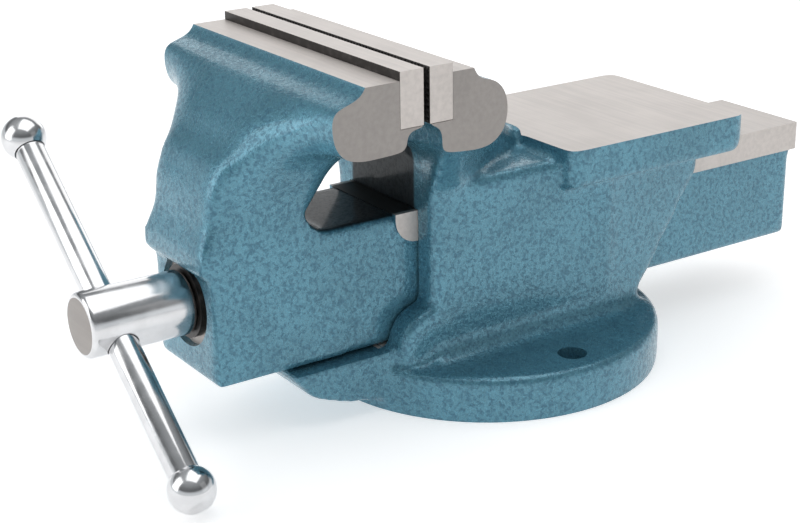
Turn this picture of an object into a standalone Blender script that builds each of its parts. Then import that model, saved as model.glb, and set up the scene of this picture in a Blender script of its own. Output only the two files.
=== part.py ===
"""Bench vise with a fixed base: two iron castings, a lead screw, its nut and a sliding handle.

Lengths are millimetres, turned into Blender's metres where a mesh is made.
+Z is up. +Y runs from the handle to the anvil. The origin is the centre of the base's underside.
"""

import math

import bmesh
import bpy
from mathutils import Matrix, Vector

MM = 0.001
GAP = 0.3                    # between touching pieces

# Base
BASE_RADIUS = 88.4
BASE_THICKNESS = 22.1
BASE_EDGE_RADIUS = 2.5
BOLT_HOLE_DIAMETER = 14.2
BOLT_HOLE_REACH = 70.7       # from the base's centre
SKIRT_RADIUS = 12.0          # fillet from the body down to the base

# Sliding beam of the moving jaw
BEAM_WIDTH = 57.2
BEAM_HEIGHT = 63.1
BEAM_WALL = 9.9
BEAM_ROOF = 13.1
BEAM_REAR_OVERHANG = 62.7    # behind the anvil, with the jaws closed
BAND_HEIGHT = 14.9           # machined guide strip along the beam's top
BAND_PROUD = 0.7
BAND_OVERHANG = 2.5          # past the beam's painted rear end
SLIDE_CLEARANCE = 0.4
FLOOR_RISE = 8.9             # slideway floor above the base

# Fixed body
BODY_WALL = 13.0
BODY_LENGTH = 109.0
BODY_FRONT = -60.0
BODY_ROOF = 13.6
BODY_EDGE_RADIUS = 4.0
TAIL_LENGTH = 66.0           # tapering rear end of the slideway under the anvil
TAIL_WALL = 2.6
TAIL_SLOPE = 1.29            # rise over run of the slanted tail end
TONGUE_WIDTH = 69.0
TONGUE_LENGTH = 74.0
TONGUE_DROP = 0.4            # below the slideway's floor
TOE_RADIUS = 17.0            # round foot in front of the body

# Anvil
ANVIL_WIDTH = 103.6
ANVIL_LENGTH = 113.5
ANVIL_THICKNESS = 19.3
ANVIL_SETBACK = 73.5         # from the body's front face
ANVIL_LIFT = 0.7             # over the beam's top
ANVIL_CORNER = 5.0

# Jaws
JAW_WIDTH = 150.0
PLATE_HEIGHT = 25.0
PLATE_THICKNESS = 12.7
PLATE_EDGE = 0.5
JAW_GAP = 1.8                # between the plates at rest
LEDGE_DROP = 4.0             # casting's machined top below the plates' top
THROAT_DEPTH = 56.0          # beam's top to the plates' lower edge
NECK_WIDTH = 72.0            # fixed jaw's neck
THROAT_LENGTH = 59.5         # from neck to neck
FRONT_LEDGE = 16.6
REAR_LEDGE = 11.0

# Moving jaw's front block
BLOCK_WIDTH = 56.6
BLOCK_LENGTH = 48.0          # in front of the throat
FRONT_WALL = 19.5
HOOD_PROUD = 5.0
RECESS_RADIUS = 21.0
RECESS_DEPTH = 3.5

# Lead screw and what holds it
SCREW_DIAMETER = 22.0
SCREW_DROP = 28.9            # axis below the beam's top
SCREW_HEAD_DIAMETER = 30.0
SCREW_HEAD_LENGTH = 50.0
SCREW_END_SETBACK = 38.0     # from the beam's rear end
BORE_CLEARANCE = 0.4         # radial
COLLAR_DIAMETER = 34.0
COLLAR_THICKNESS = 3.6
WASHER_DIAMETER = 30.5
WASHER_THICKNESS = 2.5
SPRING_WIRE = 2.6
SPRING_CLEARANCE = 0.6       # radial, round the screw
SPRING_TURNS = 3
SPRING_LENGTH = 19.0
COTTER_DIAMETER = 4.0
COTTER_LENGTH = 31.0
NUT_LENGTH = 40.0
NUT_SETBACK = 21.0           # from the body's front face
NUT_SIDE_CLEARANCE = 1.6
NUT_TOP_CLEARANCE = 2.0
NUT_BOLT_DIAMETER = 10.0
NUT_BOLT_DEPTH = 10.0        # into the nut
NUT_BOLT_HEAD_DIAMETER = 16.0
NUT_BOLT_HEAD_HEIGHT = 6.4
NUT_WASHER_THICKNESS = 2.0

# Handle
HANDLE_DIAMETER = 14.0
KNOB_DIAMETER = 21.0
HANDLE_SETBACK = 14.5        # from the screw head's front end
HANDLE_TILT = math.radians(37.3)
HANDLE_UPPER = 103.7         # knob centre to the screw's axis
HANDLE_LOWER = 88.0
KNOB_SEAT = 5.0              # how far the bar goes into a knob past its near side

# Jaw plate screws
PLATE_SCREW_SPACING = 90.0
PLATE_SCREW_DIAMETER = 7.0
PLATE_SCREW_HEAD_DIAMETER = 13.0
PLATE_SCREW_LENGTH = 23.0
PLATE_SCREW_HEIGHT = 0.44    # share of the plate's height
SOCKET_DEPTH = 3.0

# Heights and places that follow
FLOOR = BASE_THICKNESS + FLOOR_RISE
BEAM_BOTTOM = FLOOR + GAP
BEAM_TOP = BEAM_BOTTOM + BEAM_HEIGHT
BODY_TOP = BEAM_TOP + SLIDE_CLEARANCE + BODY_ROOF
SEAT = BEAM_TOP + THROAT_DEPTH
LEDGE = SEAT + PLATE_HEIGHT - LEDGE_DROP
SCREW_Z = BEAM_TOP - SCREW_DROP
SLIDE_HALF = BEAM_WIDTH / 2 + SLIDE_CLEARANCE
BODY_HALF = SLIDE_HALF + BODY_WALL
BODY_REAR = BODY_FRONT + BODY_LENGTH
ANVIL_FRONT = BODY_FRONT + ANVIL_SETBACK
ANVIL_REAR = ANVIL_FRONT + ANVIL_LENGTH
ANVIL_BOTTOM = BEAM_TOP + ANVIL_LIFT
ANVIL_TOP = ANVIL_BOTTOM + ANVIL_THICKNESS
BEAM_REAR = ANVIL_REAR + BEAM_REAR_OVERHANG
REAR_PLATE_BACK = BODY_FRONT - 12.8
REAR_PLATE_FRONT = REAR_PLATE_BACK - PLATE_THICKNESS
FRONT_PLATE_FACE = REAR_PLATE_FRONT - JAW_GAP
FRONT_PLATE_BACK = FRONT_PLATE_FACE - PLATE_THICKNESS
THROAT_FRONT = BODY_FRONT - THROAT_LENGTH
BLOCK_FRONT = THROAT_FRONT - BLOCK_LENGTH
WALL_FACE = BLOCK_FRONT + RECESS_DEPTH
WALL_BACK = BLOCK_FRONT + FRONT_WALL
COIL_RADIUS = (SCREW_DIAMETER + SPRING_WIRE) / 2 + BORE_CLEARANCE + SPRING_CLEARANCE
WASHER_RADIUS = max(WASHER_DIAMETER / 2, (COIL_RADIUS * 2 + SPRING_WIRE) / 2 + 0.5)
HOLLOW_HALF = max(BEAM_WIDTH / 2 - BAND_PROUD - BEAM_WALL + GAP, max(WASHER_RADIUS, COTTER_LENGTH / 2) + 1)
HOLLOW_TOP = max(BEAM_TOP - BEAM_ROOF, SCREW_Z + WASHER_RADIUS + 0.5)
COLLAR_FRONT = WALL_FACE - GAP - COLLAR_THICKNESS
HEAD_BACK = COLLAR_FRONT - GAP
HEAD_FRONT = HEAD_BACK - SCREW_HEAD_LENGTH
HANDLE_Y = HEAD_FRONT + HANDLE_SETBACK
SCREW_END = BEAM_REAR - SCREW_END_SETBACK
NUT_FRONT = BODY_FRONT + NUT_SETBACK
NUT_MIDDLE = NUT_FRONT + NUT_LENGTH / 2
BORE_RADIUS = SCREW_DIAMETER / 2 + BORE_CLEARANCE
BOLT_POCKET = NUT_BOLT_HEAD_HEIGHT + NUT_WASHER_THICKNESS + 2 * GAP


def clear_scene():
    for item in list(bpy.data.objects):
        bpy.data.objects.remove(item, do_unlink=True)


def material(name, colour, roughness, metallic):
    """A plain finish in linear colour."""
    made = bpy.data.materials.new(name)
    made.use_nodes = True
    shader = made.node_tree.nodes["Principled BSDF"]
    shader.inputs["Base Color"].default_value = (*colour, 1.0)
    shader.inputs["Roughness"].default_value = roughness
    shader.inputs["Metallic"].default_value = metallic
    return made


def add_object(name, mesh, finish=None, parent=None):
    made = bpy.data.objects.new(name, mesh)
    bpy.context.collection.objects.link(made)
    if finish:
        mesh.materials.append(finish)
    if parent:
        made.parent = parent
    return made


def empty(name, place, turn=(0, 0, 0), parent=None):
    made = bpy.data.objects.new(name, None)
    made.location = Vector(place) * MM
    made.rotation_euler = turn
    made.parent = parent
    bpy.context.collection.objects.link(made)
    return made


def solid(name, points, faces, finish=None, parent=None):
    """A closed mesh from points in millimetres, with its faces turned outwards."""
    mesh = bpy.data.meshes.new(name)
    mesh.from_pydata([Vector(p) * MM for p in points], [], faces)
    work = bmesh.new()
    work.from_mesh(mesh)
    bmesh.ops.recalc_face_normals(work, faces=work.faces)
    work.to_mesh(mesh)
    work.free()
    made = add_object(name, mesh, finish, parent)
    mesh.shade_smooth()
    mesh.set_sharp_from_angle(angle=math.radians(35))
    return made


def corner_reaches(corners):
    """How far each corner's arc reaches along its sides, shortened where two arcs would meet."""
    reaches = []
    for index, (u, v, radius) in enumerate(corners):
        before = Vector(corners[index - 1][:2]) - Vector((u, v))
        after = Vector(corners[(index + 1) % len(corners)][:2]) - Vector((u, v))
        half = before.angle(after) / 2
        reach = radius / math.tan(half) if radius > 0 else 0
        if radius > 0 and half > math.radians(78):
            reach = max(reach, 0.2 * min(before.length, after.length))
        reaches.append((reach, before.length))
    fitted = []
    for index, (reach, before) in enumerate(reaches):
        next_reach, after = reaches[(index + 1) % len(reaches)]
        room_before = 0.96 * before / max(reach + reaches[index - 1][0], 1e-6)
        room_after = 0.96 * after / max(reach + next_reach, 1e-6)
        fitted.append(reach * min(1.0, room_before, room_after))
    return fitted


def rounded(corners, steps=4):
    """A closed outline from (u, v, radius) corners, each round one drawn as an arc."""
    outline = []
    for index, ((u, v, radius), reach) in enumerate(zip(corners, corner_reaches(corners))):
        corner = Vector((u, v))
        if radius <= 0:
            outline.append(corner)
            continue
        before = (Vector(corners[index - 1][:2]) - corner).normalized()
        after = (Vector(corners[(index + 1) % len(corners)][:2]) - corner).normalized()
        half = before.angle(after) / 2
        centre = corner + (before + after).normalized() * (reach / math.cos(half))
        start = corner + before * reach - centre
        end = corner + after * reach - centre
        sweep = start.angle_signed(end)
        for step in range(steps + 1):
            outline.append(centre + Matrix.Rotation(-sweep * step / steps, 2) @ start)
    return [(p.x, p.y) for p in outline]


def place_on(axis, u, v, along):
    """A point whose outline lies across the axis."""
    return {"X": (along, u, v), "Y": (u, along, v), "Z": (u, v, along)}[axis]


def skin(name, rings, finish=None, parent=None):
    """A closed solid through rings of the same number of points."""
    count = len(rings[0])
    points = [p for ring in rings for p in ring]
    faces = [list(range(count)), list(range(len(points) - count, len(points)))]
    for ring in range(len(rings) - 1):
        for i in range(count):
            a, b = ring * count + i, ring * count + (i + 1) % count
            faces.append([a, b, b + count, a + count])
    return solid(name, points, faces, finish, parent)


def prism(name, outline, axis, low, high, finish=None, parent=None):
    rings = [[place_on(axis, u, v, along) for u, v in outline] for along in (low, high)]
    return skin(name, rings, finish, parent)


def block(name, low, high, finish=None, parent=None):
    outline = [(low[0], low[1]), (high[0], low[1]), (high[0], high[1]), (low[0], high[1])]
    return prism(name, outline, "Z", low[2], high[2], finish, parent)


def turned(name, profile, axis, centre, segments=48, finish=None, parent=None):
    """A round piece: profile holds (radius, along) from one end's centre to the other's."""
    rings = []
    for radius, along in profile:
        ring = []
        for i in range(segments):
            angle = math.tau * (i + 0.5) / segments
            u, v = radius * math.cos(angle), radius * math.sin(angle)
            ring.append(tuple(a + b for a, b in zip(centre, place_on(axis, u, v, along))))
        rings.append(ring)
    return skin(name, rings, finish, parent)


def cylinder(name, radius, axis, centre, low, high, segments=48, finish=None, parent=None):
    return turned(name, [(radius, low), (radius, high)], axis, centre, segments, finish, parent)


def helper(piece):
    """A cutter, or a shape that a Boolean joins to a piece."""
    piece.hide_render = True
    piece.display_type = "WIRE"
    return piece


def boolean(piece, other, operation):
    step = piece.modifiers.new(f"{operation.lower()}_{other.name}", "BOOLEAN")
    step.operation = operation
    step.object = helper(other)
    step.solver = "EXACT"


def join(piece, *others):
    for other in others:
        boolean(piece, other, "UNION")


def cut(piece, *others):
    for other in others:
        boolean(piece, other, "DIFFERENCE")


def bevel(piece, width, segments):
    step = piece.modifiers.new("edge_rounding", "BEVEL")
    step.width = width * MM
    step.segments = segments
    step.limit_method = "ANGLE"
    step.angle_limit = math.radians(40)
    step.harden_normals = False


def mix(a, b, share):
    return a + (b - a) * share


def jaw_loft(name, plate_back, side, neck_half, section):
    """A jaw's head across its width: section gives the corners at a share from its end to the neck."""
    half = JAW_WIDTH / 2
    shares = [0.0, 0.15, 0.3, 0.44, 0.56, 0.67, 0.77, 0.86, 0.93, 1.0]
    places = [(-mix(half, neck_half, share), share) for share in shares]
    places += [(-x, share) for x, share in reversed(places)]
    rings = []
    for x, share in places:
        outline = rounded(section(share), steps=4)
        rings.append([(x, plate_back + side * out, SEAT + up) for out, up in outline])
    return skin(name, rings)


def front_head_section(share):
    """Corners (away from the plate, above the seat, radius) of the moving jaw's head."""
    top = PLATE_HEIGHT - LEDGE_DROP
    crease_out = mix(33.4, 65.4, share**1.7)
    crease_up = mix(-10.4, -33.0, share**4) + 11 * share * (1 - share)
    return [
        (0, top, 0),
        (FRONT_LEDGE, top, 0.8),
        (FRONT_LEDGE + 3.2, top - 4.2, 3),
        (FRONT_LEDGE + 15.6, top - 8.2, 4),
        (mix(33.6, 48.2, share**1.5), mix(8.5, -1.5, share), mix(3, 12, share)),
        (crease_out, crease_up, mix(14, 5, share)),
        (mix(12, 19, share), mix(-10.4, -46, share**3.5), 2),
        (mix(4, 8, share), mix(-10.2, -29, share**2.5), 4),
        (-3.5, mix(-9.6, -20, share**2.5), 1.5),
        (-3.5, 0, 0),
        (0, 0, 0),
    ]


def rear_head_section(share):
    """Corners (away from the plate, above the seat, radius) of the fixed jaw's head."""
    top = PLATE_HEIGHT - LEDGE_DROP
    neck = min(1.0, share / 0.62)
    crease_out = mix(29.2, 86.5, share**2)
    crease_up = mix(-15.2, -37.0, share**4) + 6 * share * (1 - share)
    neck_face = BODY_FRONT - REAR_PLATE_BACK
    return [
        (0, top, 0),
        (REAR_LEDGE, top, 0.8),
        (REAR_LEDGE + 2.4, top - 4.8, 3),
        (mix(29.2, 31, share), mix(13.0, 9.0, share), 13),
        (crease_out, crease_up, mix(14, 6, share)),
        (mix(12, crease_out, share), mix(-15.2, -62, neck**2.2), 1),
        (mix(4, neck_face, neck), mix(-14.6, -62, neck**2.2), 1),
        (mix(-1, neck_face, neck), mix(-14.2, -26, neck**1.5), 8),
        (-5.7, mix(-13.7, -15.5, neck), 1.5),
        (-5.7, 0, 0),
        (0, 0, 0),
    ]


def plate_screw_places():
    for side_name, sign in (("left", -1), ("right", 1)):
        yield side_name, sign * PLATE_SCREW_SPACING / 2, SEAT + PLATE_SCREW_HEIGHT * PLATE_HEIGHT


def cut_plate_screw_holes(casting, plate_back, into, label):
    """Blind holes behind a jaw plate; into is +1 when the casting lies towards +Y."""
    radius = PLATE_SCREW_DIAMETER / 2 + GAP
    depth = PLATE_SCREW_LENGTH - PLATE_THICKNESS + 2
    for side_name, x, z in plate_screw_places():
        ends = sorted((plate_back - into * 2, plate_back + into * depth))
        cut(casting, cylinder(f"{label}_hole_{side_name}", radius, "Y", (x, 0, z), *ends, 24))


def skirt():
    """Concave foot of the body, from its walls out to the base."""
    rings = []
    for step in range(6):
        lean = math.pi / 2 * step / 5
        out = SKIRT_RADIUS * (1 - math.sin(lean)) - 0.4
        up = BASE_THICKNESS + SKIRT_RADIUS * (1 - math.cos(lean))
        rear = BODY_REAR + 17 + 0.6 * out
        corners = [
            (-BODY_HALF - out, BODY_FRONT - 0.5 * out, 5),
            (BODY_HALF + out, BODY_FRONT - 0.5 * out, 5),
            (BODY_HALF + out, BODY_REAR + 0.2 * out, 5),
            (BODY_HALF - 4 + 0.7 * out, rear, 3),
            (-BODY_HALF + 4 - 0.7 * out, rear, 3),
            (-BODY_HALF - out, BODY_REAR + 0.2 * out, 5),
        ]
        rings.append([(x, y, up) for x, y in rounded(corners)])
    rings.insert(0, [(x, y, BASE_THICKNESS - 6) for x, y, _ in rings[0]])
    return skin("body_skirt", rings)


def base_disc():
    arc = [math.pi / 2 * step / 4 for step in range(5)]
    edge = BASE_EDGE_RADIUS
    rim = [(BASE_RADIUS - edge + edge * math.cos(a), BASE_THICKNESS - edge + edge * math.sin(a)) for a in arc]
    profile = [(BASE_RADIUS - 1, 0), (BASE_RADIUS, 1)] + rim
    return turned("fixed_body", profile, "Z", (0, 0, 0), 80, PAINTED_IRON)


def body_core():
    core = block(
        "body_core",
        (-BODY_HALF, BODY_FRONT, BASE_THICKNESS - 8),
        (BODY_HALF, BODY_REAR + 2, BODY_TOP),
    )
    bevel(core, BODY_EDGE_RADIUS, 3)
    return core


def body_tail():
    """Tapering rear of the slideway, cut off at a slant."""
    tail_half = SLIDE_HALF + TAIL_WALL
    rear = BODY_REAR + TAIL_LENGTH
    root_half = BODY_HALF - 0.4
    plan = [(-root_half, BODY_REAR - 3), (root_half, BODY_REAR - 3), (tail_half, rear), (-tail_half, rear)]
    tail = prism("body_tail", plan, "Z", BASE_THICKNESS - 7, ANVIL_BOTTOM + 2)
    top = ANVIL_BOTTOM + 6
    slant_low = rear - (ANVIL_BOTTOM - 12) / TAIL_SLOPE
    slant_high = slant_low + top / TAIL_SLOPE
    behind = [(slant_low, 0), (slant_high, top), (rear + 60, top), (rear + 60, 0)]
    cut(tail, prism("tail_slant", behind, "X", -BODY_HALF - 20, BODY_HALF + 20))
    return tail


def tongue():
    """Rail under the moving jaw's block."""
    front = BODY_FRONT - TONGUE_LENGTH
    top = FLOOR - TONGUE_DROP
    side = [
        (front, top, 2),
        (front + 4, top - 4, 3),
        (front + 13, top - 14, 8),
        (front + 30, top - 20.5, 10),
        (front + 50, top - 24, 4),
        (BODY_FRONT + 10, top - 24, 0),
        (BODY_FRONT + 10, top, 0),
    ]
    half = TONGUE_WIDTH / 2
    return prism("tongue", rounded(side, 3), "X", -half, half)


def toe():
    """Round foot across the front of the body."""
    half = BODY_HALF + 0.4
    arc = [math.pi / 2 * step / 3 for step in range(4)]
    edge = BODY_EDGE_RADIUS
    end = [(TOE_RADIUS - edge + edge * math.sin(a), half - edge + edge * math.cos(a)) for a in arc]
    profile = [(r, -x) for r, x in end] + [(r, x) for r, x in reversed(end)]
    return turned("toe", profile, "X", (0, BODY_FRONT - 0.5, BASE_THICKNESS + 10.5), 36)


def anvil():
    half = ANVIL_WIDTH / 2
    plan = [(-half, ANVIL_FRONT), (half, ANVIL_FRONT), (half, ANVIL_REAR), (-half, ANVIL_REAR)]
    slab = prism(
        "anvil",
        rounded([(x, y, ANVIL_CORNER) for x, y in plan], 4),
        "Z",
        ANVIL_BOTTOM - 3,
        ANVIL_TOP,
    )
    side = [
        (ANVIL_FRONT - 5, ANVIL_BOTTOM, 0),
        (ANVIL_REAR + 0.6, ANVIL_BOTTOM, 8),
        (ANVIL_REAR + 0.6, ANVIL_TOP + 5, 0),
        (ANVIL_FRONT - 5, ANVIL_TOP + 5, 0),
    ]
    boolean(slab, prism("anvil_side", rounded(side), "X", -half - 5, half + 5), "INTERSECT")
    return slab


def fixed_body():
    """Base, slideway, fixed jaw and anvil: one casting."""
    body = base_disc()
    head = jaw_loft("rear_head", REAR_PLATE_BACK, 1, 10.0, rear_head_section)
    join(body, skirt(), tongue(), toe(), body_core(), body_tail(), anvil(), head)
    slide = block(
        "slideway",
        (-SLIDE_HALF, BODY_FRONT - 200, FLOOR),
        (SLIDE_HALF, BEAM_REAR + 50, BEAM_TOP + SLIDE_CLEARANCE),
    )
    cut(body, slide)
    for sign in (-1, 1):
        centre = (sign * BOLT_HOLE_REACH, 0, 0)
        name = f"bolt_hole_{'left' if sign < 0 else 'right'}"
        cut(body, cylinder(name, BOLT_HOLE_DIAMETER / 2, "Z", centre, -5, BASE_THICKNESS + 5, 32))
    bolt_place = (0, NUT_MIDDLE, 0)
    shank = NUT_BOLT_DIAMETER / 2 + GAP
    pocket = NUT_BOLT_HEAD_DIAMETER / 2 + 2
    cut(body, cylinder("nut_bolt_hole", shank, "Z", bolt_place, -5, FLOOR + 5, 24))
    cut(body, cylinder("nut_bolt_pocket", pocket, "Z", bolt_place, -5, BOLT_POCKET, 32))
    cut_plate_screw_holes(body, REAR_PLATE_BACK, 1, "rear_screw")
    return body


def beam():
    """Beam in section: painted flanks, with the machined guide strip proud of them."""
    half = BEAM_WIDTH / 2 - BAND_PROUD
    low = (-half, THROAT_FRONT + 5, BEAM_BOTTOM)
    body = block("moving_jaw", low, (half, BEAM_REAR - BAND_OVERHANG, BEAM_TOP - 0.4), PAINTED_IRON)
    start = BODY_FRONT - 12
    strip_bottom = BEAM_TOP - BAND_HEIGHT
    side = [
        (start, BEAM_TOP, 0), (start, strip_bottom, 12),
        (BEAM_REAR, strip_bottom, 0), (BEAM_REAR, BEAM_TOP, 0),
    ]
    join(body, prism("guide_strip", rounded(side, 6), "X", -BEAM_WIDTH / 2, BEAM_WIDTH / 2))
    return body


def front_block():
    """Block, neck and hood of the moving jaw, seen from the side."""
    neck_top = SEAT - 8
    low = BEAM_BOTTOM + 0.6
    side = [
        (BLOCK_FRONT, low, 2),
        (BLOCK_FRONT, SCREW_Z + 17.5, 1.5),
        (BLOCK_FRONT - HOOD_PROUD, SCREW_Z + 19, 2.5),
        (BLOCK_FRONT - HOOD_PROUD + 0.5, SCREW_Z + 30, 6),
        (BLOCK_FRONT - 0.5, SCREW_Z + 39, 10),
        (BLOCK_FRONT + 1.5, SCREW_Z + 56, 20),
        (BLOCK_FRONT + 8, SCREW_Z + 70, 0),
        (BLOCK_FRONT + 26, neck_top, 0),
        (FRONT_PLATE_BACK - 3, neck_top, 0),
        (FRONT_PLATE_BACK - 1, SEAT - 24, 2),
        (THROAT_FRONT, SEAT - 26.5, 12),
        (THROAT_FRONT, BEAM_TOP - 0.8, 13),
        (THROAT_FRONT + 20, BEAM_TOP - 0.8, 0),
        (THROAT_FRONT + 20, low, 0),
    ]
    half = BLOCK_WIDTH / 2
    return prism("front_block", rounded(side), "X", -half, half)


def moving_jaw():
    """Front block, neck, head and hollow beam: one casting."""
    jaw = beam()
    head = jaw_loft("front_head", FRONT_PLATE_BACK, -1, BLOCK_WIDTH / 2 - 0.6, front_head_section)
    join(jaw, front_block(), head)
    hollow = block(
        "beam_hollow",
        (-HOLLOW_HALF, WALL_BACK, BEAM_BOTTOM - 20),
        (HOLLOW_HALF, BEAM_REAR + 50, HOLLOW_TOP),
    )
    axis = (0, 0, SCREW_Z)
    recess = cylinder("screw_recess", RECESS_RADIUS, "Y", axis, BLOCK_FRONT - 20, WALL_FACE)
    bore = cylinder("screw_bore", BORE_RADIUS, "Y", axis, BLOCK_FRONT - 20, WALL_BACK + 5)
    hood_keep = block(
        "hood_keep",
        (-BLOCK_WIDTH, BLOCK_FRONT - 30, SCREW_Z + 18),
        (BLOCK_WIDTH, WALL_FACE + 5, SCREW_Z + 60),
    )
    cut(recess, hood_keep)
    cut(jaw, hollow, recess, bore)
    cut_plate_screw_holes(jaw, FRONT_PLATE_BACK, -1, "front_screw")
    return jaw


def jaw_plate(name, low, gripping_face, into):
    """A hardened plate; its screws go in from the gripping face, towards the casting."""
    half = JAW_WIDTH / 2
    high = low + PLATE_THICKNESS - GAP / 2
    plate = block(name, (-half, low + GAP / 2, SEAT + GAP), (half, high, SEAT + PLATE_HEIGHT), GROUND_STEEL)
    bevel(plate, PLATE_EDGE, 2)
    radius = PLATE_SCREW_DIAMETER / 2 + GAP
    head = PLATE_SCREW_HEAD_DIAMETER / 2 + GAP
    sink = head - radius
    for side_name, x, z in plate_screw_places():
        face = gripping_face
        deep = [(head, -2), (head, 1.2), (radius, 1.2 + sink), (radius, PLATE_THICKNESS + 2)]
        profile = [(r, face + into * along) for r, along in deep]
        cut(plate, turned(f"{name}_hole_{side_name}", profile, "Y", (x, 0, z), 32))
    return plate


def plate_screws(label, gripping_face, into):
    """Countersunk socket screws, just under the gripping face."""
    radius, head = PLATE_SCREW_DIAMETER / 2, PLATE_SCREW_HEAD_DIAMETER / 2
    for side_name, x, z in plate_screw_places():
        shape = [(head, 0.5), (head, 1.2), (radius, 1.2 + head - radius), (radius, PLATE_SCREW_LENGTH)]
        profile = [(r, gripping_face + into * along) for r, along in shape]
        screw = turned(f"{label}_jaw_screw_{side_name}", profile, "Y", (x, 0, z), 32, DARK_STEEL)
        ends = sorted((gripping_face - into * 2, gripping_face + into * (0.5 + SOCKET_DEPTH)))
        cut(screw, cylinder(f"{label}_socket_{side_name}", head * 0.42, "Y", (x, 0, z), *ends, 6))


def lead_nut():
    """Block nut standing on the slideway's floor, inside the beam."""
    half = HOLLOW_HALF - NUT_SIDE_CLEARANCE
    low, high = FLOOR + GAP, HOLLOW_TOP - NUT_TOP_CLEARANCE
    section = [(-half, low, 2), (half, low, 2), (half, high, 9), (-half, high, 9)]
    nut = prism("lead_nut", rounded(section), "Y", NUT_FRONT, NUT_FRONT + NUT_LENGTH, CAST_NUT)
    ends = (NUT_FRONT - 5, NUT_FRONT + NUT_LENGTH + 5)
    cut(nut, cylinder("nut_thread_bore", BORE_RADIUS, "Y", (0, 0, SCREW_Z), *ends))
    hole = NUT_BOLT_DIAMETER / 2 + GAP
    top = min(low + NUT_BOLT_DEPTH + 2, SCREW_Z - BORE_RADIUS - 1)
    cut(nut, cylinder("nut_bolt_thread", hole, "Z", (0, NUT_MIDDLE, 0), low - 5, top, 24))
    return nut


def nut_bolt():
    """Bolt from under the base into the nut, with its washer."""
    place = (0, NUT_MIDDLE, 0)
    shank, head = NUT_BOLT_DIAMETER / 2, NUT_BOLT_HEAD_DIAMETER / 2
    seat = BOLT_POCKET - GAP - NUT_WASHER_THICKNESS - GAP
    top = min(FLOOR + GAP + NUT_BOLT_DEPTH, SCREW_Z - BORE_RADIUS - 3)
    low = seat - NUT_BOLT_HEAD_HEIGHT + GAP
    bolt = cylinder("nut_bolt", head / math.cos(math.pi / 6), "Z", place, low, seat, 6, DARK_STEEL)
    join(bolt, cylinder("nut_bolt_shank", shank, "Z", place, seat - 2, top, 24))
    washer = cylinder(
        "nut_bolt_washer", head + 1.4, "Z", place,
        seat + GAP, seat + GAP + NUT_WASHER_THICKNESS, 32, DARK_STEEL,
    )
    cut(washer, cylinder("nut_washer_hole", shank + GAP, "Z", place, 0, seat + 20, 24))


def lead_screw(parent):
    """Screw with a plain journal at the front and a drilled head; its thread is drawn plain here."""
    radius, head = SCREW_DIAMETER / 2, SCREW_HEAD_DIAMETER / 2
    front, back, end = (y - HANDLE_Y for y in (HEAD_FRONT, HEAD_BACK, SCREW_END))
    profile = [
        (head - 2.2, front), (head - 0.7, front + 0.7), (head, front + 2.2),
        (head, back - 1.5), (head - 1.5, back), (radius, back), (radius, end - 3), (radius - 3, end),
    ]
    screw = turned("lead_screw", profile, "Y", (0, 0, 0), 48, BRIGHT_STEEL, parent)
    hole = HANDLE_DIAMETER / 2 + BORE_CLEARANCE
    across = cylinder("handle_hole", hole, "X", (0, 0, 0), -40, 40, 48, None, parent)
    across.rotation_euler = (0, HANDLE_TILT, 0)
    pin_hole = cylinder(
        "cotter_hole", COTTER_DIAMETER / 2 + GAP, "X",
        (0, cotter_y() - HANDLE_Y, 0), -40, 40, 24, None, parent,
    )
    cut(screw, across, pin_hole)
    return screw


def spring_front():
    return WALL_BACK + GAP + WASHER_THICKNESS + GAP


def retainer_front():
    return spring_front() + SPRING_LENGTH + GAP


def cotter_y():
    return retainer_front() + WASHER_THICKNESS + GAP + COTTER_DIAMETER / 2


def ring(name, outer, low, high, finish, parent):
    """A washer round the screw."""
    place = (0, -HANDLE_Y, 0)
    made = cylinder(name, outer, "Y", place, low, high, 48, finish, parent)
    cut(made, cylinder(f"{name}_hole", BORE_RADIUS, "Y", place, low - 5, high + 5, 48, None, parent))
    return made


def retraction_spring(parent):
    """Open coil behind the front wall, which takes up the screw's end play."""
    wire = SPRING_WIRE / 2
    steps = 16 * SPRING_TURNS
    rise = SPRING_LENGTH - 2 * wire
    rings = []
    for step in range(steps + 1):
        angle = math.tau * SPRING_TURNS * step / steps
        middle = Vector((COIL_RADIUS * math.cos(angle), rise * step / steps, COIL_RADIUS * math.sin(angle)))
        lead = rise / (math.tau * SPRING_TURNS)
        ahead = Vector((-COIL_RADIUS * math.sin(angle), lead, COIL_RADIUS * math.cos(angle)))
        out = Vector((math.cos(angle), 0, math.sin(angle)))
        side = ahead.normalized().cross(out)
        ends = [math.tau * i / 8 for i in range(8)]
        shift = Vector((0, spring_front() + wire - HANDLE_Y, 0))
        ring_points = [middle + shift + wire * (math.cos(a) * out + math.sin(a) * side) for a in ends]
        rings.append([tuple(point) for point in ring_points])
    return skin("retraction_spring", rings, SPRING_STEEL, parent)


def screw_fittings(parent):
    collar_back = COLLAR_FRONT + COLLAR_THICKNESS
    ring("thrust_collar", COLLAR_DIAMETER / 2, COLLAR_FRONT, collar_back, DARK_STEEL, parent)
    seat = WALL_BACK + GAP
    ring("spring_seat_washer", WASHER_RADIUS, seat, seat + WASHER_THICKNESS, DARK_STEEL, parent)
    retraction_spring(parent)
    keep = retainer_front()
    ring("retainer_washer", WASHER_RADIUS, keep, keep + WASHER_THICKNESS, DARK_STEEL, parent)
    half = COTTER_LENGTH / 2
    place = (0, cotter_y() - HANDLE_Y, 0)
    cylinder("cotter_pin", COTTER_DIAMETER / 2, "X", place, -half, half, 16, BRIGHT_STEEL, parent)


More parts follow.
